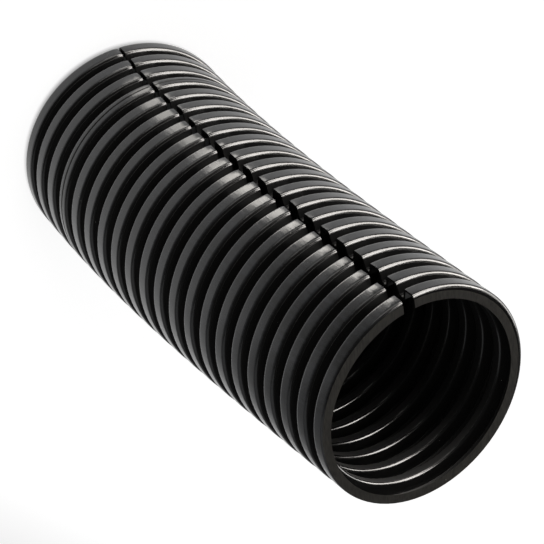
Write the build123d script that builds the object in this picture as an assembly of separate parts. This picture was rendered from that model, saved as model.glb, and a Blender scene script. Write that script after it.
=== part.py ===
from build123d import *
import os
from math import cos, radians, sin, tan

os.makedirs("parts", exist_ok=True)

# Offcut of split corrugated conduit: one thin plastic wall with rings of ridges, slit lengthwise.
# Millimetres. It stands on its square-cut base mouth, +Z is up and the slit is at the front, on
# the -Y side. While it is built, the base mouth's axis is the Z axis. Ridges count from 0 there.

# Corrugated wall, in a section along the axis
outside_diameter = 34.5
inside_diameter = 30.0
wall = 0.4
pitch = 4.1
ridge_width = 2.25
flank_draft = 13.0
ridge_outer_radius = 0.6
ridge_inner_radius = 0.2
valley_outer_radius = 0.3
valley_inner_radius = 0.5

# Bow that the coil left: going up, the axis turns towards -X at each joint between two ridges,
# by bow_step degrees less at each higher joint, down to nothing in the top mouth's ridges
ridge_count = 21
straight_ridges_base = 2
straight_ridges_top = 3
bow_step = 0.055

# Slit: its width over the ridges, and its angle from the front towards +X
slit_width_base = 0.5
slit_width_top = 1.9
slit_angle_base = 2.1
slit_angle_top = 7.3
slit_station_step = 5

# Top end: a hand cut down through the upper flank of the last ridge, leaning a little out of square
top_cut_above_ridge = 1.2
top_cut_lean_front = -0.3
top_cut_lean_side = 0.4

# Joint of the mould blocks: a fine groove round the crest of one ridge
mould_joint_ridge = 3
mould_joint_width = 0.3
mould_joint_depth = 0.12

outside_radius = outside_diameter / 2
inside_radius = inside_diameter / 2
ridge_height = outside_radius - inside_radius - wall
flank_run = ridge_height * tan(radians(flank_draft))
# How far the inner face of a flank lies from its outer face, measured along the axis
flank_shift = wall * (1 / cos(radians(flank_draft)) - tan(radians(flank_draft)))
# Trimming solids reach this far from the axis, well past the wall
reach = 2 * outside_diameter
# The slit's knife starts on the axis and points out through the middle of the slit
slit_middle = radians((slit_angle_base + slit_angle_top) / 2)
knife_direction = (sin(slit_middle), -cos(slit_middle), 0)
knife_plane = Plane(origin=(0, 0, 0), x_dir=(0, 0, 1), z_dir=knife_direction)


def turned_ridge(floor_radius, half_width, edge_radius, root_radius, length):
    """Solid of revolution about Z under one ridge and the valleys beside it."""
    half = length / 2
    crest_radius = floor_radius + ridge_height
    path = [
        (floor_radius, -half),
        (floor_radius, -half_width - flank_run),
        (crest_radius, -half_width),
        (crest_radius, half_width),
        (floor_radius, half_width + flank_run),
        (floor_radius, half),
    ]
    with BuildSketch(Plane.XZ) as section:
        with BuildLine():
            FilletPolyline(*path, radius=[root_radius, edge_radius, edge_radius, root_radius])
            Polyline(path[-1], (0, half), (0, -half), path[0])
        make_face()
    return revolve(section.sketch, Axis.Z)


def ridge_shell(length):
    """Thin wall of one ridge and the valleys beside it, centred on the origin."""
    half_width = ridge_width / 2
    outer = turned_ridge(
        inside_radius + wall, half_width, ridge_outer_radius, valley_outer_radius, length
    )
    inner = turned_ridge(
        inside_radius, half_width - flank_shift, ridge_inner_radius, valley_inner_radius, length
    )
    return outer - inner


def mould_joint():
    """Ring that cuts the mould joint's groove into a crest."""
    with BuildSketch(Plane.XZ) as section:
        with Locations((outside_radius, 0)):
            Rectangle(2 * mould_joint_depth, mould_joint_width)
    return revolve(section.sketch, Axis.Z)


def mitre_block(turn_below, turn_above):
    """Block between the planes halfway from one ridge to its two neighbours."""
    rise_below = reach * tan(radians(turn_below / 2))
    rise_above = reach * tan(radians(turn_above / 2))
    side = Polygon(
        (-reach, -pitch / 2 + rise_below),
        (reach, -pitch / 2 - rise_below),
        (reach, pitch / 2 + rise_above),
        (-reach, pitch / 2 - rise_above),
        align=None,
    )
    return extrude(Plane.XZ * side, amount=reach, both=True)


def joint_turns():
    """Turn in degrees below each ridge from the base up, and last the one above the top ridge."""
    bent_joints = ridge_count + 1 - straight_ridges_base - straight_ridges_top
    bent = [bow_step * (bent_joints - number) for number in range(bent_joints)]
    return [0.0] * straight_ridges_base + bent + [0.0] * straight_ridges_top


def ridge_places(turns):
    """Location of each ridge's centre along the bowed axis."""
    half_pitch = Pos(0, 0, pitch / 2)
    places = [half_pitch]
    for turn in turns[1:-1]:
        places.append(places[-1] * half_pitch * Rot(0, -turn, 0) * half_pitch)
    return places


def slit_lip(places, side):
    """Line of one lip of the slit, from below the base mouth to above the top one."""
    last = ridge_count - 1
    inner_stations = [(ridge, 0) for ridge in range(slit_station_step, last, slit_station_step)]
    points = []
    for ridge, past in [(0, -pitch)] + inner_stations + [(last, pitch)]:
        share = ridge / last
        width = slit_width_base + share * (slit_width_top - slit_width_base)
        angle = radians(slit_angle_base + share * (slit_angle_top - slit_angle_base))
        angle += side * width / 2 / outside_radius
        crest = Pos(outside_radius * sin(angle), -outside_radius * cos(angle), past)
        point = knife_plane.to_local_coords((places[ridge] * crest).position)
        points.append((point.X, point.Y))
    return Spline(*points)


def slit_knife(places):
    """Solid between the slit's two lips: it follows the bow, widens and drifts going up."""
    right_lip, left_lip = slit_lip(places, 1), slit_lip(places, -1)
    ends = [Line(right_lip @ share, left_lip @ share) for share in (0, 1)]
    plan = make_face([right_lip, ends[1], left_lip, ends[0]])
    return extrude(knife_plane * plan, amount=reach)


def top_cutter():
    """Block above the hand cut, in the frame of the top ridge."""
    block = Box(reach, reach, reach, align=(Align.CENTER, Align.CENTER, Align.MIN))
    return Pos(0, 0, top_cut_above_ridge) * Rot(top_cut_lean_front, top_cut_lean_side, 0) * block


def conduit_tube(turns, places):
    """The whole wall: mitred and slit ridges joined end to end, with the top end cut."""
    mitre_allowance = 2 * outside_radius * tan(radians(max(turns) / 2))
    shell = ridge_shell(pitch + 2 * mitre_allowance)
    knife = slit_knife(places)
    ridges = []
    for ridge, place in enumerate(places):
        piece = shell - mould_joint() if ridge == mould_joint_ridge else shell
        piece = piece & mitre_block(turns[ridge], turns[ridge + 1])
        if ridge == ridge_count - 1:
            piece = piece - top_cutter()
        ridges.append(place * piece - knife)
    return ridges[0].fuse(*ridges[1:])


turns = joint_turns()
places = ridge_places(turns)
tube = conduit_tube(turns, places)
box = tube.bounding_box()
origin = Pos(-box.center().X, -box.center().Y, 0)
export_step(origin * tube, "parts/conduit_tube.step")

# Where the two mouths' axes lie in the finished frame
for name, place in (("base", places[0]), ("top", places[-1])):
    ridge_centre = origin * place
    print(name, "ridge centre", ridge_centre.position, "turned", ridge_centre.orientation)
print("box", box.size, "solids", len(tube.solids()), "volume", tube.volume, "valid", tube.is_valid)
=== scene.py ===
import math

import bpy
from mathutils import Matrix, Vector


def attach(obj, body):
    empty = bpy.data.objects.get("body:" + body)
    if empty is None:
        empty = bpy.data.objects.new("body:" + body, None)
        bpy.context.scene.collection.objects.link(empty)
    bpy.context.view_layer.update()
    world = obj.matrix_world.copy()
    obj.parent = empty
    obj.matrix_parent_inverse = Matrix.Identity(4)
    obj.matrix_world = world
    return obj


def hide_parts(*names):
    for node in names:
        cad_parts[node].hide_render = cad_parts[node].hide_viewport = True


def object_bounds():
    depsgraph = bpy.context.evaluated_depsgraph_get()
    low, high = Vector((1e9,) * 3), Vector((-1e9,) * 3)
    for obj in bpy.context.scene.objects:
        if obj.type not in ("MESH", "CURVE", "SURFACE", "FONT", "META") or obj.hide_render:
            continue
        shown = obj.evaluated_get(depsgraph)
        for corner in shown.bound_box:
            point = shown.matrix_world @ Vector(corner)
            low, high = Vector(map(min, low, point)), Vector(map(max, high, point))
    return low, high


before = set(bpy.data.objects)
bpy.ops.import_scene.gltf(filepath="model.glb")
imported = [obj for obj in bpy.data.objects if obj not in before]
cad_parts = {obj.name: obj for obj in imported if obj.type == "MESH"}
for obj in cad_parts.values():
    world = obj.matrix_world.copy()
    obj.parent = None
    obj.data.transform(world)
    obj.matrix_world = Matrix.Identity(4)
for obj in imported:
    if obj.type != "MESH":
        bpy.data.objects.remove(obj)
cadLow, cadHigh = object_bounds()
print("frame loaded: the offcut stands on its base mouth, slit to the front")


# Small helpers for building node trees

def plug(tree, value, socket):
    if isinstance(value, bpy.types.NodeSocket):
        tree.links.new(value, socket)
    else:
        socket.default_value = value


def add(tree, kind, plugs=None, **settings):
    node = tree.nodes.new(kind)
    for name, value in settings.items():
        setattr(node, name, value)
    for name, value in (plugs or {}).items():
        plug(tree, value, node.inputs[name])
    return node


def calc(tree, operation, *values):
    node = add(tree, "ShaderNodeMath", operation=operation)
    for socket, value in zip(node.inputs, values):
        plug(tree, value, socket)
    return node.outputs["Value"]


def times(tree, first, *others):
    for other in others:
        first = calc(tree, "MULTIPLY", first, other)
    return first


def plus(tree, first, *others):
    for other in others:
        first = calc(tree, "ADD", first, other)
    return first


def minus(tree, first, second):
    return calc(tree, "SUBTRACT", first, second)


def over(tree, first, second):
    return calc(tree, "DIVIDE", first, second)


def heldBetween(tree, value, low, high):
    return calc(tree, "MAXIMUM", calc(tree, "MINIMUM", value, high), low)


def blendOf(tree, share, first, second):  # first at share 0, second at share 1
    return calc(tree, "MULTIPLY_ADD", share, minus(tree, second, first), first)


def vectorOf(tree, x, y, z):
    return add(tree, "ShaderNodeCombineXYZ", {"X": x, "Y": y, "Z": z}).outputs["Vector"]


def vectorMath(tree, operation, first, second):
    node = add(tree, "ShaderNodeVectorMath", operation=operation)
    plug(tree, first, node.inputs[0])
    plug(tree, second, node.inputs[1])
    return node.outputs


def newTree(name, sizes):
    tree = bpy.data.node_groups.new(name, "GeometryNodeTree")
    tree.interface.new_socket(name="Geometry", in_out="OUTPUT", socket_type="NodeSocketGeometry")
    for title, value in sizes.items():
        kind = "NodeSocketInt" if isinstance(value, int) else "NodeSocketFloat"
        socket = tree.interface.new_socket(name=title, in_out="INPUT", socket_type=kind)
        socket.default_value = value
    return tree, add(tree, "NodeGroupInput").outputs


def bakeTree(name, tree, sizes):
    host = bpy.data.objects.new(name, bpy.data.meshes.new(name))
    bpy.context.scene.collection.objects.link(host)
    modifier = host.modifiers.new(tree.name, "NODES")
    modifier.node_group = tree
    for item in tree.interface.items_tree:
        if item.in_out == "INPUT":
            modifier[item.identifier] = sizes[item.name]
    smooth = host.modifiers.new("weighted normals", "WEIGHTED_NORMAL")
    smooth.keep_sharp = True
    graph = bpy.context.evaluated_depsgraph_get()
    baked = bpy.data.meshes.new_from_object(host.evaluated_get(graph), depsgraph=graph)
    host.modifiers.clear()
    host.data = baked
    baked.name = name
    if baked.materials[0] is None:  # an empty slot that the tree leaves
        baked.materials.pop(index=0)
    return host


# Conduit: millimetres, degrees and shares. The main sizes are the part's own.
conduit = {
    "Ridge Count": 21,
    "Pitch": 4.1,
    "Outside Radius": 17.25,
    "Inside Radius": 15.0,
    "Wall": 0.4,
    "Crest Width": 2.25,
    "Flank Draft": 13.0,
    "Outer Edge Radius": 0.6,
    "Inner Edge Radius": 0.2,
    "Outer Root Radius": 0.3,
    "Inner Root Radius": 0.5,
    "Rounding Steps": 4,       # on the two larger roundings
    "Small Rounding Steps": 2,
    "Around Steps": 132,
    "Lip Crowding": 0.6,       # 0 spreads these steps evenly, towards 1 crowds them at the slit
    "Slit Width Base": 0.5,
    "Slit Width Top": 1.9,
    "Slit Angle Base": 2.1,
    "Slit Angle Top": 7.3,
    "Lip Zone": 12.0,          # the higher, the nearer to the slit its wander and slide die out
    "Lip Wander": 0.64,        # the knife's path strays by about a fifth of this to either side
    "Wander Waves": 0.16,      # to a millimetre of length
    "Seed": 3,
    "Seed Step": 17.3,         # how far each next seed moves along the noise
    "Lip Offset": 0.4,         # how far one lip has slid along the other, midway
    "Lip Dip": 0.12,           # how far a lip sinks, most at the base
    "Lip Dip Arc": 3.0,
    "Lip Dip Top": 0.35,       # share of the dip that is left at the top
    "Left Lip Dip": 0.45,      # share of the dip that the lip on the -X side has
    "Cut Above Ridge": 1.19,
    "Cut Lean Front": -0.3,
    "Cut Lean Side": 0.4,
    "Joint Ridge": 3,
    "Joint Width": 0.3,
    "Joint Depth": 0.12,
    "Joint Steps": 180,
    "Bend Step": 0.055,        # degrees less turn at each higher ridge
    "Bend From Ridge": 1.5,
    "Bend To Ridge": 19.0,
    "Axis Steps": 8.0,         # to a ridge
    "Crease Angle": 38.0,      # edges sharper than this stay crisp
}
millimetre = 0.001
baseMiddle = cadHigh.x - millimetre * conduit["Outside Radius"]  # the base mouth's axis, along X


def wallOutline(tree, size):   # closed section of the wall: outer face going up, inner one back
    corners, ends = 4.0, 2.0   # points of one face: four at each ridge, and one at either end
    count = calc(tree, "MULTIPLY_ADD", size["Ridge Count"], 2 * corners, 2 * ends)
    line = add(tree, "GeometryNodeMeshLine", {"Count": count})
    curve = add(tree, "GeometryNodeMeshToCurve", {"Mesh": line.outputs[0]})
    index = add(tree, "GeometryNodeInputIndex").outputs[0]
    cornersUp = times(tree, size["Ridge Count"], corners)
    inner = calc(tree, "GREATER_THAN", index, plus(tree, cornersUp, ends - 0.5))
    step = blendOf(tree, inner, index, minus(tree, minus(tree, count, 1.0), index))

    # The ridge that a corner is on, and whether it is at the crest or the root
    corner = minus(tree, step, 1.0)
    ridge = calc(tree, "FLOOR", over(tree, corner, corners))
    cornerHere = calc(tree, "MULTIPLY_ADD", ridge, -corners, corner)
    fromMiddle = minus(tree, cornerHere, (corners - 1) / 2)
    side = calc(tree, "SIGN", fromMiddle)
    crest = calc(tree, "LESS_THAN", calc(tree, "ABSOLUTE", fromMiddle), 1.0)
    root = minus(tree, 1.0, crest)
    outer = minus(tree, 1.0, inner)

    # Its place: the flanks lean by the draft, and the inner face lies a wall inside the outer one
    draft = calc(tree, "RADIANS", size["Flank Draft"])
    slope = calc(tree, "TANGENT", draft)
    deep = minus(tree, size["Outside Radius"], size["Inside Radius"])
    height = minus(tree, deep, size["Wall"])
    flankRun = times(tree, height, slope)
    wallShare = minus(tree, over(tree, 1.0, calc(tree, "COSINE", draft)), slope)
    flankShift = times(tree, size["Wall"], wallShare)
    outerHalf = times(tree, size["Crest Width"], 0.5)
    halfCrest = minus(tree, outerHalf, times(tree, inner, flankShift))
    offset = times(tree, side, calc(tree, "MULTIPLY_ADD", root, flankRun, halfCrest))
    along = calc(tree, "MULTIPLY_ADD", plus(tree, ridge, 0.5), size["Pitch"], offset)
    length = times(tree, size["Ridge Count"], size["Pitch"])
    along = heldBetween(tree, along, 0.0, length)
    floorRadius = calc(tree, "MULTIPLY_ADD", outer, size["Wall"], size["Inside Radius"])
    radius = calc(tree, "MULTIPLY_ADD", crest, height, floorRadius)
    plugs = {"Geometry": curve.outputs[0], "Position": vectorOf(tree, radius, along, 0.0)}
    placed = add(tree, "GeometryNodeSetPosition", plugs)
    plugs = {"Geometry": placed.outputs[0], "Cyclic": True}
    closed = add(tree, "GeometryNodeSetSplineCyclic", plugs)

    # Every corner but those at the ends is rounded, the outer edges and inner roots in more steps
    halfSteps = calc(tree, "MULTIPLY_ADD", cornersUp, 0.5, 0.5)
    fromEnds = minus(tree, halfSteps, calc(tree, "ABSOLUTE", minus(tree, step, halfSteps)))
    rounded = calc(tree, "GREATER_THAN", fromEnds, 0.5)
    edgeRadius = blendOf(tree, inner, size["Outer Edge Radius"], size["Inner Edge Radius"])
    rootRadius = blendOf(tree, inner, size["Outer Root Radius"], size["Inner Root Radius"])
    rounding = times(tree, rounded, blendOf(tree, crest, rootRadius, edgeRadius))
    large = calc(tree, "ABSOLUTE", minus(tree, crest, inner))
    steps = blendOf(tree, large, size["Small Rounding Steps"], size["Rounding Steps"])
    steps = calc(tree, "MAXIMUM", times(tree, steps, rounded), 1.0)
    plugs = {"Curve": closed.outputs[0], "Radius": rounding, "Count": steps}
    return add(tree, "GeometryNodeFilletCurve", plugs, mode="POLY").outputs[0]


def captured(tree, geometry, **fields):
    node = add(tree, "GeometryNodeCaptureAttribute", domain="POINT")
    for name in fields:
        node.capture_items.new("FLOAT", name)
    plug(tree, geometry, node.inputs["Geometry"])
    for name, field in fields.items():
        plug(tree, field, node.inputs[name])
    return node.outputs["Geometry"], [node.outputs[name] for name in fields]


def slitTube(tree, size, parts):
    # Section of the wall, carried along a straight rail that becomes the way round
    section = wallOutline(tree, size)
    outline, (radius, along) = captured(tree, section, radius=parts["X"], along=parts["Y"])
    rail = add(tree, "GeometryNodeCurvePrimitiveLine", {"Start": (0, 0, 0), "End": (0, 0, 1)})
    plugs = {"Curve": rail.outputs[0], "Count": plus(tree, size["Around Steps"], 1.0)}
    rail = add(tree, "GeometryNodeResampleCurve", plugs)
    factor = add(tree, "GeometryNodeSplineParameter").outputs["Factor"]
    rail, (way,) = captured(tree, rail.outputs[0], way=factor)
    plugs = {"Curve": rail, "Profile Curve": outline, "Fill Caps": True}
    wall = add(tree, "GeometryNodeCurveToMesh", plugs)
    wall = add(tree, "GeometryNodeFlipFaces", {"Mesh": wall.outputs[0]})

    # Round the axis, from one lip of the slit to the other
    ridgesUp = over(tree, along, size["Pitch"])
    lastRidge = minus(tree, size["Ridge Count"], 1.0)
    share = over(tree, minus(tree, ridgesUp, 0.5), lastRidge)
    width = blendOf(tree, share, size["Slit Width Base"], size["Slit Width Top"])
    middle = blendOf(tree, share, size["Slit Angle Base"], size["Slit Angle Top"])
    halfGap = over(tree, times(tree, width, 0.5), radius)
    wave = calc(tree, "SINE", times(tree, way, 2 * math.pi))
    crowd = over(tree, times(tree, size["Lip Crowding"], wave), 2 * math.pi)
    spread = minus(tree, way, crowd)
    turn = calc(tree, "MULTIPLY_ADD", halfGap, -2.0, 2 * math.pi)
    firstLip = plus(tree, calc(tree, "RADIANS", middle), halfGap)
    angle = plus(tree, firstLip, times(tree, spread, turn))

    # The knife's wander, the same at both lips
    fromOpposite = calc(tree, "ABSOLUTE", calc(tree, "MULTIPLY_ADD", spread, 2.0, -1.0))
    nearSlit = calc(tree, "POWER", fromOpposite, size["Lip Zone"])
    waves = times(tree, along, size["Wander Waves"])
    seeded = calc(tree, "MULTIPLY_ADD", size["Seed"], size["Seed Step"], waves)
    plugs = {"W": seeded, "Scale": 1.0, "Detail": 2.0}
    noise = add(tree, "ShaderNodeTexNoise", plugs, noise_dimensions="1D").outputs[0]
    wander = times(tree, minus(tree, noise, 0.5), size["Lip Wander"])
    angle = plus(tree, angle, over(tree, times(tree, wander, nearSlit), radius))

    # Midway the lips have slid along each other, half of it each
    midway = calc(tree, "SINE", times(tree, heldBetween(tree, share, 0.0, 1.0), math.pi))
    slid = times(tree, midway, size["Lip Offset"], nearSlit, 0.5)
    lipSide = calc(tree, "SIGN", minus(tree, 0.5, spread))
    alongSlid = calc(tree, "MULTIPLY_ADD", lipSide, slid, along)

    # Each lip sinks a little towards the axis
    nearerLip = calc(tree, "MINIMUM", spread, minus(tree, 1.0, spread))
    fromLip = times(tree, nearerLip, turn)
    dipTo = calc(tree, "RADIANS", size["Lip Dip Arc"])
    dip = calc(tree, "MAXIMUM", minus(tree, 1.0, over(tree, fromLip, dipTo)), 0.0)
    dip = calc(tree, "POWER", dip, 2.0)
    rightLip = calc(tree, "LESS_THAN", spread, 0.5)
    sideShare = blendOf(tree, rightLip, size["Left Lip Dip"], 1.0)
    dipShare = times(tree, blendOf(tree, share, 1.0, size["Lip Dip Top"]), sideShare)
    sink = times(tree, size["Lip Dip"], dipShare)
    sunk = minus(tree, radius, times(tree, dip, sink))

    ringX = times(tree, sunk, calc(tree, "SINE", angle))
    ringY = times(tree, sunk, times(tree, calc(tree, "COSINE", angle), -1.0))
    ring = vectorOf(tree, ringX, ringY, alongSlid)
    plugs = {"Geometry": wall.outputs[0], "Position": ring}
    return add(tree, "GeometryNodeSetPosition", plugs).outputs[0]


def endCutAndJoint(tree, size, tube):
    # Block above the hand cut; it only has to be larger than the tube
    blockWidth, blockHeight = 80.0, 20.0
    block = add(tree, "GeometryNodeMeshCube", {"Size": (blockWidth, blockWidth, blockHeight)})
    plugs = {"Geometry": block.outputs[0], "Translation": (0, 0, blockHeight / 2)}
    block = add(tree, "GeometryNodeTransform", plugs)
    topRidge = times(tree, minus(tree, size["Ridge Count"], 0.5), size["Pitch"])
    cutHeight = plus(tree, topRidge, size["Cut Above Ridge"])
    leanFront = calc(tree, "RADIANS", size["Cut Lean Front"])
    leanSide = calc(tree, "RADIANS", size["Cut Lean Side"])
    block = add(tree, "GeometryNodeTransform", {
        "Geometry": block.outputs[0],
        "Translation": vectorOf(tree, 0.0, 0.0, cutHeight),
        "Rotation": vectorOf(tree, leanFront, leanSide, 0.0),
    })

    # Ring that takes out the groove of the mould joint
    plugs = {"Resolution": size["Joint Steps"], "Radius": size["Outside Radius"]}
    ring = add(tree, "GeometryNodeCurvePrimitiveCircle", plugs)
    plugs = {"Width": times(tree, size["Joint Depth"], 2.0), "Height": size["Joint Width"]}
    groove = add(tree, "GeometryNodeCurvePrimitiveQuadrilateral", plugs)
    plugs = {"Curve": ring.outputs[0], "Profile Curve": groove.outputs[0]}
    ring = add(tree, "GeometryNodeCurveToMesh", plugs)
    jointHeight = times(tree, plus(tree, size["Joint Ridge"], 0.5), size["Pitch"])
    plugs = {"Geometry": ring.outputs[0], "Translation": vectorOf(tree, 0.0, 0.0, jointHeight)}
    ring = add(tree, "GeometryNodeTransform", plugs)

    solver = {"operation": "DIFFERENCE", "solver": "MANIFOLD"}
    cut = add(tree, "GeometryNodeMeshBoolean", {"Mesh 1": tube}, **solver)
    plug(tree, block.outputs[0], cut.inputs["Mesh 2"])
    plug(tree, ring.outputs[0], cut.inputs["Mesh 2"])
    return cut.outputs[0]


def marked(tree, geometry, name, value, kind, domain):
    plugs = {"Geometry": geometry, "Name": name, "Value": value}
    node = add(tree, "GeometryNodeStoreNamedAttribute", plugs, data_type=kind, domain=domain)
    return node.outputs[0]


def bowed(tree, size, tube, parts):
    # The axis: its turn grows from the base and dies out towards the top
    axisRidges = plus(tree, size["Ridge Count"], 1.0)
    count = calc(tree, "MULTIPLY_ADD", axisRidges, size["Axis Steps"], 1.0)
    axis = add(tree, "GeometryNodeMeshLine", {"Count": count})
    index = add(tree, "GeometryNodeInputIndex").outputs[0]
    ridgesUp = over(tree, index, size["Axis Steps"])
    bent = heldBetween(tree, ridgesUp, size["Bend From Ridge"], size["Bend To Ridge"])
    left = calc(tree, "POWER", minus(tree, size["Bend To Ridge"], bent), 2.0)
    whole = minus(tree, size["Bend To Ridge"], size["Bend From Ridge"])
    whole = calc(tree, "POWER", whole, 2.0)
    heading = times(tree, times(tree, size["Bend Step"], 0.5), minus(tree, whole, left))
    heading = calc(tree, "RADIANS", heading)
    stride = over(tree, size["Pitch"], size["Axis Steps"])
    strideX = times(tree, times(tree, calc(tree, "SINE", heading), -1.0), stride)
    strideZ = times(tree, calc(tree, "COSINE", heading), stride)
    plugs = {"Value": vectorOf(tree, strideX, 0.0, strideZ)}
    walk = add(tree, "GeometryNodeAccumulateField", plugs, data_type="FLOAT_VECTOR")
    plugs = {"Geometry": axis.outputs[0], "Position": walk.outputs["Trailing"]}
    axis = add(tree, "GeometryNodeSetPosition", plugs)
    axis = add(tree, "GeometryNodeMeshToCurve", {"Mesh": axis.outputs[0]})

    # Each point moves with the axis at its own height
    plugs = {"Curves": axis.outputs[0], "Length": parts["Z"]}
    onAxis = add(tree, "GeometryNodeSampleCurve", plugs, mode="LENGTH", use_all_curves=False)
    tangent = add(tree, "ShaderNodeSeparateXYZ", {"Vector": onAxis.outputs["Tangent"]}).outputs
    sideX = times(tree, parts["X"], tangent["Z"])
    sideZ = times(tree, parts["X"], tangent["X"], -1.0)
    sideways = vectorOf(tree, sideX, parts["Y"], sideZ)
    place = vectorMath(tree, "ADD", onAxis.outputs["Position"], sideways)["Vector"]
    plugs = {"Geometry": tube, "Position": place}
    return add(tree, "GeometryNodeSetPosition", plugs).outputs[0]


def conduitTree(sizes, material):
    tree, size = newTree("corrugated conduit", sizes)
    where = add(tree, "GeometryNodeInputPosition").outputs[0]
    parts = add(tree, "ShaderNodeSeparateXYZ", {"Vector": where}).outputs
    tube = endCutAndJoint(tree, size, slitTube(tree, size, parts))

    # What the plastic's pattern follows: the place on the straight tube, and the cut ends
    normal = add(tree, "GeometryNodeInputNormal").outputs["Normal"]
    facing = add(tree, "ShaderNodeSeparateXYZ", {"Vector": normal}).outputs
    almostFlat = 0.99
    ends = calc(tree, "GREATER_THAN", calc(tree, "ABSOLUTE", facing["Z"]), almostFlat)
    tube = marked(tree, tube, "straightPlace", where, "FLOAT_VECTOR", "POINT")
    tube = marked(tree, tube, "cutEnd", ends, "FLOAT", "FACE")
    tube = bowed(tree, size, tube, parts)

    # Smooth shading with crisp cut edges, then into the frame, in metres
    smooth = add(tree, "GeometryNodeSetShadeSmooth", {"Geometry": tube, "Shade Smooth": True})
    edgeAngle = add(tree, "GeometryNodeInputMeshEdgeAngle").outputs["Unsigned Angle"]
    crease = calc(tree, "GREATER_THAN", edgeAngle, calc(tree, "RADIANS", size["Crease Angle"]))
    plugs = {"Geometry": smooth.outputs[0], "Selection": crease, "Shade Smooth": False}
    crisp = add(tree, "GeometryNodeSetShadeSmooth", plugs, domain="EDGE")
    placed = add(tree, "GeometryNodeTransform", {
        "Geometry": crisp.outputs[0],
        "Translation": (baseMiddle, 0, 0),
        "Scale": (millimetre, millimetre, millimetre),
    })
    real = add(tree, "GeometryNodeRealizeInstances", {"Geometry": placed.outputs[0]})
    plugs = {"Geometry": real.outputs[0], "Material": material}
    painted = add(tree, "GeometryNodeSetMaterial", plugs)
    add(tree, "NodeGroupOutput", {"Geometry": painted.outputs[0]})
    return tree


# Black plastic: glossy flanks, ridge tops coloured lighter and bluish for scuffing and for a
# painted sheen, a dull knife cut at the ends, a little dust.
# Scales and cells are to a millimetre, and a stretch below 1 draws a pattern out that way.
finish = {
    "black": (0.0090, 0.0088, 0.0086, 1),
    # painted sheen as well as scuffing: the lighter, bluish colour of the ridge tops
    "scuffedAndSheen": (0.0235, 0.0245, 0.0275, 1),
    "cutGrey": (0.048, 0.044, 0.037, 1),
    "dust": (0.30, 0.29, 0.26, 1),
    "gloss": 0.43,             # strength of the mirror part, 0.5 is common plastic
    "roughnessGlossy": 0.15,
    "roughnessScuffed": 0.24,
    "roughnessCut": 0.30,
    "roughnessRubbed": 0.55,   # inside: the lands that cables rub, and the hollows between them
    "roughnessDust": 0.8,
    "grainRoughens": 0.05,
    "dragRoughens": 0.12,
    "ridgeTopFrom": 17.05,        # millimetres from the axis
    "ridgeTopTo": 17.22,
    "landRadius": 15.02,
    "hollowRadius": 16.835,
    "hollowReach": 0.02,
    "streakScale": 1.9,
    "streakStretch": (1.0, 1.0, 0.22),
    "streakShare": 0.6,
    "hazeScale": 0.22,
    "hazeStretch": (1.0, 1.0, 0.6),
    "hazeShare": 0.5,
    "scuffAndSheenStarts": 0.40,       # of streaks and haze together
    "scuffAndSheenFull": 0.70,
    "grainScale": 5.5,
    "dragScale": 1.6,
    "dragStretch": (3.0, 0.5, 1.0),
    "dragDark": 0.10,
    "dragPale": 0.60,
    "dustCells": 0.60,
    "dustSize": 0.055,         # of a cell
    "dustCore": 0.6,           # share of a speck that is dense
    "dustRagged": 0.03,
    "cellsBare": 0.70,         # share of the cells that hold no dust
    "cellsFull": 0.72,
    "grainDepth": 0.00002,     # metres
    "bumpStrength": 0.8,
    "bumpStreaks": 1.2,
    "bumpGrain": 0.5,
    "bumpDrag": 1.5,
    "bumpDust": 2.0,
}


def mixed(tree, share, first, second):
    node = add(tree, "ShaderNodeMix", data_type="RGBA")
    plug(tree, share, node.inputs["Factor"])
    plug(tree, first, node.inputs["A"])
    plug(tree, second, node.inputs["B"])
    return [socket for socket in node.outputs if socket.type == "RGBA"][0]


def ramped(tree, value, low, high, bottom=0.0, top=1.0):
    plugs = {"Value": value, "From Min": low, "From Max": high, "To Min": bottom, "To Max": top}
    return add(tree, "ShaderNodeMapRange", plugs, clamp=True).outputs[0]


def noiseOf(tree, vector, stretch, scale, detail):
    stretched = vectorMath(tree, "MULTIPLY", vector, stretch)["Vector"]
    plugs = {"Vector": stretched, "Scale": scale, "Detail": detail}
    return add(tree, "ShaderNodeTexNoise", plugs).outputs[0]


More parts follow.
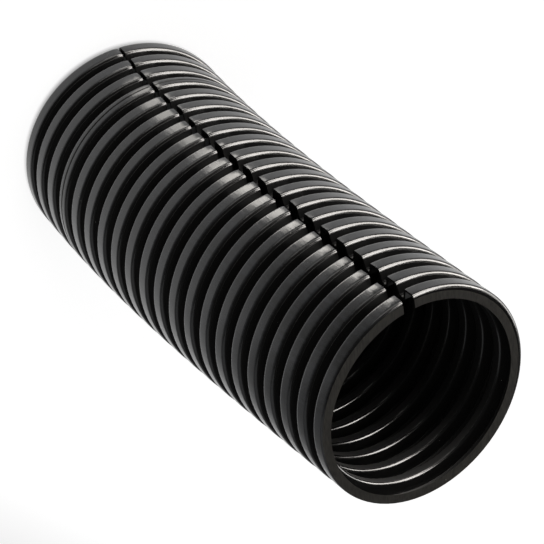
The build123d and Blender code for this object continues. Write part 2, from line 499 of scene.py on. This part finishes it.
def conduitPlastic():
    material = bpy.data.materials.new("conduitPlastic")
    material.use_nodes = True
    tree = material.node_tree
    shader = tree.nodes["Principled BSDF"]
    shader.inputs["Specular IOR Level"].default_value = finish["gloss"]
    place = add(tree, "ShaderNodeAttribute", attribute_name="straightPlace").outputs["Vector"]
    cutEnd = add(tree, "ShaderNodeAttribute", attribute_name="cutEnd").outputs["Fac"]
    parts = add(tree, "ShaderNodeSeparateXYZ", {"Vector": place}).outputs
    squareX = times(tree, parts["X"], parts["X"])
    squareY = times(tree, parts["Y"], parts["Y"])
    radius = calc(tree, "SQRT", plus(tree, squareX, squareY))
    crest = ramped(tree, radius, finish["ridgeTopFrom"], finish["ridgeTopTo"])

    # Drawn streaks that run along the tube, cloudy haze, and a fine grain
    streaks = noiseOf(tree, place, finish["streakStretch"], finish["streakScale"], 4.0)
    haze = noiseOf(tree, place, finish["hazeStretch"], finish["hazeScale"], 3.0)
    grain = noiseOf(tree, place, (1.0, 1.0, 1.0), finish["grainScale"], 2.0)
    hazed = times(tree, haze, finish["hazeShare"])
    clouds = calc(tree, "MULTIPLY_ADD", streaks, finish["streakShare"], hazed)
    # Painted sheen: the ridge tops take a lighter, bluish colour in streaks and haze, for scuffing
    # and for their sheen.
    wornAndSheen = ramped(tree, clouds, finish["scuffAndSheenStarts"], finish["scuffAndSheenFull"])
    scuffAndSheen = times(tree, crest, wornAndSheen)

    # Dust: a speck in some of the cells
    plugs = {"Vector": place, "Scale": finish["dustCells"]}
    cells = add(tree, "ShaderNodeTexVoronoi", plugs, feature="F1").outputs
    draw = add(tree, "ShaderNodeSeparateColor", {"Color": cells["Color"]}).outputs[0]
    chosen = ramped(tree, draw, finish["cellsBare"], finish["cellsFull"])
    ragged = calc(tree, "MULTIPLY_ADD", grain, finish["dustRagged"], cells["Distance"])
    core = finish["dustSize"] * finish["dustCore"]
    near = ramped(tree, ragged, core, finish["dustSize"], 1.0, 0.0)
    dust = times(tree, near, chosen)

    # The knife's drag lines across the cut
    drag = noiseOf(tree, place, finish["dragStretch"], finish["dragScale"], 4.0)
    pale = ramped(tree, drag, finish["dragDark"], finish["dragPale"])
    cutColour = mixed(tree, pale, finish["black"], finish["cutGrey"])
    bodyColour = mixed(tree, scuffAndSheen, finish["black"], finish["scuffedAndSheen"])
    colour = mixed(tree, cutEnd, bodyColour, cutColour)
    plug(tree, mixed(tree, dust, colour, finish["dust"]), shader.inputs["Base Color"])

    glossy = calc(tree, "MULTIPLY_ADD", grain, finish["grainRoughens"], finish["roughnessGlossy"])
    rough = blendOf(tree, scuffAndSheen, glossy, finish["roughnessScuffed"])
    land = calc(tree, "LESS_THAN", radius, finish["landRadius"])
    fromHollow = calc(tree, "ABSOLUTE", minus(tree, radius, finish["hollowRadius"]))
    hollow = calc(tree, "LESS_THAN", fromHollow, finish["hollowReach"])
    rubbed = calc(tree, "MAXIMUM", land, hollow)
    rough = blendOf(tree, rubbed, rough, finish["roughnessRubbed"])
    dragged = calc(tree, "MULTIPLY_ADD", drag, finish["dragRoughens"], finish["roughnessCut"])
    rough = blendOf(tree, cutEnd, rough, dragged)
    rough = blendOf(tree, dust, rough, finish["roughnessDust"])
    plug(tree, rough, shader.inputs["Roughness"])

    raised = times(tree, grain, finish["bumpGrain"])
    streaked = times(tree, streaks, crest)
    height = calc(tree, "MULTIPLY_ADD", streaked, finish["bumpStreaks"], raised)
    height = blendOf(tree, cutEnd, height, times(tree, drag, finish["bumpDrag"]))
    height = plus(tree, height, times(tree, dust, finish["bumpDust"]))
    bump = add(tree, "ShaderNodeBump", {
        "Strength": finish["bumpStrength"],
        "Distance": finish["grainDepth"],
        "Height": height,
    })
    plug(tree, bump.outputs["Normal"], shader.inputs["Normal"])
    return material


plastic = conduitPlastic()
print("material made: black plastic with scuffed ridge tops and dull cut ends")

tube = bakeTree("conduitTube", conduitTree(conduit, plastic), conduit)
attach(tube, "root")
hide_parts("conduit_tube")
tube.data.calc_loop_triangles()
print("conduit made:", len(tube.data.loop_triangles), "triangles")

# Camera: the photograph's viewing angle, down on the mouth from the front, nearly head down
camera = {
    "place": (0.19869, -0.31112, 0.48921),
    "look": (-0.34345, 0.53915, -0.769),
    "up": (-0.26538, -0.84115, -0.47122),
    "lens": 260.17,
    "sensorWidth": 36,
    "clipStart": 0.01,
}


def aimed(place, look, up):
    back = -Vector(look).normalized()
    right = Vector(up).cross(back).normalized()
    top = back.cross(right)
    matrix = Matrix((right, top, back)).transposed().to_4x4()
    matrix.translation = Vector(place)
    return matrix


lensData = bpy.data.cameras.new("photoCamera")
lensData.lens = camera["lens"]
lensData.sensor_width = camera["sensorWidth"]
lensData.clip_start = camera["clipStart"]
photoCamera = bpy.data.objects.new("photoCamera", lensData)
photoCamera.matrix_world = aimed(camera["place"], camera["look"], camera["up"])
bpy.context.scene.collection.objects.link(photoCamera)
bpy.context.scene.camera = photoCamera

# Lamps: soft boxes, with direction and long way in world axes, half width and half length in
# degrees. One that isn't matt shows only in the gloss.
lamps = {
    "sideBox": {
        "direction": (-0.76, -0.59, 0.26), "along": (-0.613, 0.790, 0),
        "halfWidth": 12, "halfLength": 33,
        "radiance": 20, "colour": (1.0, 0.95, 0.90), "matt": False,
    },
    "upperBox": {
        "direction": (-0.56, -0.50, 0.66), "along": (-0.40, 0.45, 0),
        "halfWidth": 13, "halfLength": 13,
        "radiance": 24, "colour": (1.0, 0.96, 0.92), "matt": False,
    },
    "farBox": {
        "direction": (0.64, 0.54, 0.50), "along": (0, 0, 1),
        "halfWidth": 20, "halfLength": 20,
        "radiance": 0.5, "colour": (0.96, 0.98, 1.0), "matt": True,
    },
    "backBox": {
        "direction": (-0.978, 0.137, 0.156), "along": (0.139, 0.990, 0),
        "halfWidth": 12, "halfLength": 17,
        "radiance": 7, "colour": (1.0, 0.97, 0.94), "matt": False,
    },
    "frontBox": {
        "direction": (-0.03, -0.95, 0.20), "along": (0, 0, 1),
        "halfWidth": 16, "halfLength": 12,
        "radiance": 2.5, "colour": (1.0, 0.97, 0.92), "matt": True,
    },
}
lampDistance = 0.6
lampTarget = Vector((0, 0, 0.05))

# Panels that lie on the floor before the slit and show only in the gloss: metres
panels = {
    "nearPanel": {
        "place": (0.0025, -0.036, 0.001), "along": (-0.08, -1, 0),
        "width": 0.009, "length": 0.022,
        "radiance": 4.5, "colour": (1.0, 0.96, 0.90), "matt": False,
    },
    "frontPanel": {
        "place": (-0.006, -0.073, 0.001), "along": (-0.24, -1, 0),
        "width": 0.021, "length": 0.052,
        "radiance": 9.0, "colour": (1.0, 0.96, 0.90), "matt": False,
    },
}


def areaLamp(name, lamp, place, look, width, length):
    data = bpy.data.lights.new(name, "AREA")
    data.shape = "RECTANGLE"
    data.size, data.size_y = width, length
    data.energy = lamp["radiance"] * math.pi * width * length
    data.color = lamp["colour"]
    light = bpy.data.objects.new(name, data)
    light.matrix_world = aimed(place, look, lamp["along"])
    light.visible_camera = False
    light.visible_diffuse = lamp["matt"]
    bpy.context.scene.collection.objects.link(light)


def spanOf(halfAngle):         # width of a soft box that fills twice this angle
    return 2 * lampDistance * math.tan(math.radians(halfAngle))


for name, lamp in lamps.items():
    direction = Vector(lamp["direction"]).normalized()
    place = lampTarget + direction * lampDistance
    width, length = spanOf(lamp["halfWidth"]), spanOf(lamp["halfLength"])
    areaLamp(name, lamp, place, -direction, width, length)
for name, panel in panels.items():
    areaLamp(name, panel, panel["place"], (0, 0, 1), panel["width"], panel["length"])
print("camera and lamps placed")

# Studio: pale horizon and dark overhead, on a pale floor that keeps the shadow and glows to the
# background's rays, with painted shade in that glow
studio = {
    "fill": 0.35,              # light from all round
    "horizon": 0.3,
    "overhead": 0.03,
    "horizonTo": 0.03,         # height on the sphere of directions where the horizon starts to fade
    "overheadFrom": 0.35,
    "floorHalf": 4,            # metres, as all the distances below
    "floorColour": (0.60, 0.60, 0.60, 1),
    "floorGlow": 0.80,
    "floorGlowFar": 0.03,
    "tubeShadeFrom": 0.0160,   # painted shadow: under the tube the floor doesn't glow
    "tubeShadeTo": 0.0172,
    "dimFrom": 0.125,          # all round
    "dimTo": 0.20,
    # painted shade: the glow fades out towards this side, standing in for the shade beside the tube
    "side": (0.7071, 0.7071, 0),
    "sideDimFrom": 0.06,
    "sideDimTo": 0.11,
    "front": (0.54, -0.84, 0),  # towards the camera
    "frontDimFrom": 0.055,
    "frontDimTo": 0.13,
}


def backgroundRays(tree):      # 1 for the rays that see the background, straight or in a gloss
    path = add(tree, "ShaderNodeLightPath").outputs
    seen = calc(tree, "MAXIMUM", path["Is Camera Ray"], path["Is Glossy Ray"])
    return calc(tree, "MAXIMUM", seen, path["Is Transmission Ray"])


def studioWorld():
    world = bpy.data.worlds.new("studio")
    bpy.context.scene.world = world
    world.use_nodes = True
    tree = world.node_tree
    direction = add(tree, "ShaderNodeTexCoord").outputs["Generated"]
    skyward = add(tree, "ShaderNodeSeparateXYZ", {"Vector": direction}).outputs["Z"]
    fade = (studio["horizonTo"], studio["overheadFrom"], studio["horizon"], studio["overhead"])
    backdrop = ramped(tree, skyward, *fade)
    sky = tree.nodes["Background"]
    sky.inputs["Color"].default_value = (1, 1, 1, 1)
    strength = blendOf(tree, backgroundRays(tree), studio["fill"], backdrop)
    plug(tree, strength, sky.inputs["Strength"])


def floorPaint():              # matt and pale, and white to the background's rays round the offcut
    material = bpy.data.materials.new("paleFloor")
    material.use_nodes = True
    tree = material.node_tree
    tree.nodes.remove(tree.nodes["Principled BSDF"])
    spot = add(tree, "ShaderNodeTexCoord").outputs["Object"]
    fromBase = vectorMath(tree, "DISTANCE", spot, (baseMiddle, 0, 0))["Value"]
    toSide = vectorMath(tree, "DOT_PRODUCT", spot, studio["side"])["Value"]
    toFront = vectorMath(tree, "DOT_PRODUCT", spot, studio["front"])["Value"]
    clearOfPaintedShadow = ramped(tree, fromBase, studio["tubeShadeFrom"], studio["tubeShadeTo"])
    farDim = ramped(tree, fromBase, studio["dimFrom"], studio["dimTo"], 1.0, 0.0)
    sideDim = ramped(tree, toSide, studio["sideDimFrom"], studio["sideDimTo"], 1.0, 0.0)
    frontDim = ramped(tree, toFront, studio["frontDimFrom"], studio["frontDimTo"], 1.0, 0.0)
    # Painted shade in the glow: none under the tube's foot, and fading out to the side; it also
    # fades towards the camera and far off.
    bright = times(tree, sideDim, frontDim, farDim)
    bright = blendOf(tree, bright, studio["floorGlowFar"], studio["floorGlow"])
    strength = times(tree, backgroundRays(tree), clearOfPaintedShadow, bright)
    matt = add(tree, "ShaderNodeBsdfDiffuse", {"Color": studio["floorColour"]})
    glow = add(tree, "ShaderNodeEmission", {"Color": (1, 1, 1, 1), "Strength": strength})
    both = add(tree, "ShaderNodeAddShader")
    plug(tree, matt.outputs[0], both.inputs[0])
    plug(tree, glow.outputs[0], both.inputs[1])
    plug(tree, both.outputs[0], tree.nodes["Material Output"].inputs["Surface"])
    return material


def studioFloor():
    half = studio["floorHalf"]
    corners = [(-half, -half, 0), (half, -half, 0), (half, half, 0), (-half, half, 0)]
    sheet = bpy.data.meshes.new("floor")
    sheet.from_pydata(corners, [], [(0, 1, 2, 3)])
    sheet.materials.append(floorPaint())
    floor = bpy.data.objects.new("floor", sheet)
    bpy.context.scene.collection.objects.link(floor)
    return floor


studioWorld()
studioFloor()
bpy.context.scene.view_settings.view_transform = "Standard"
print("studio made: pale floor and backdrop")
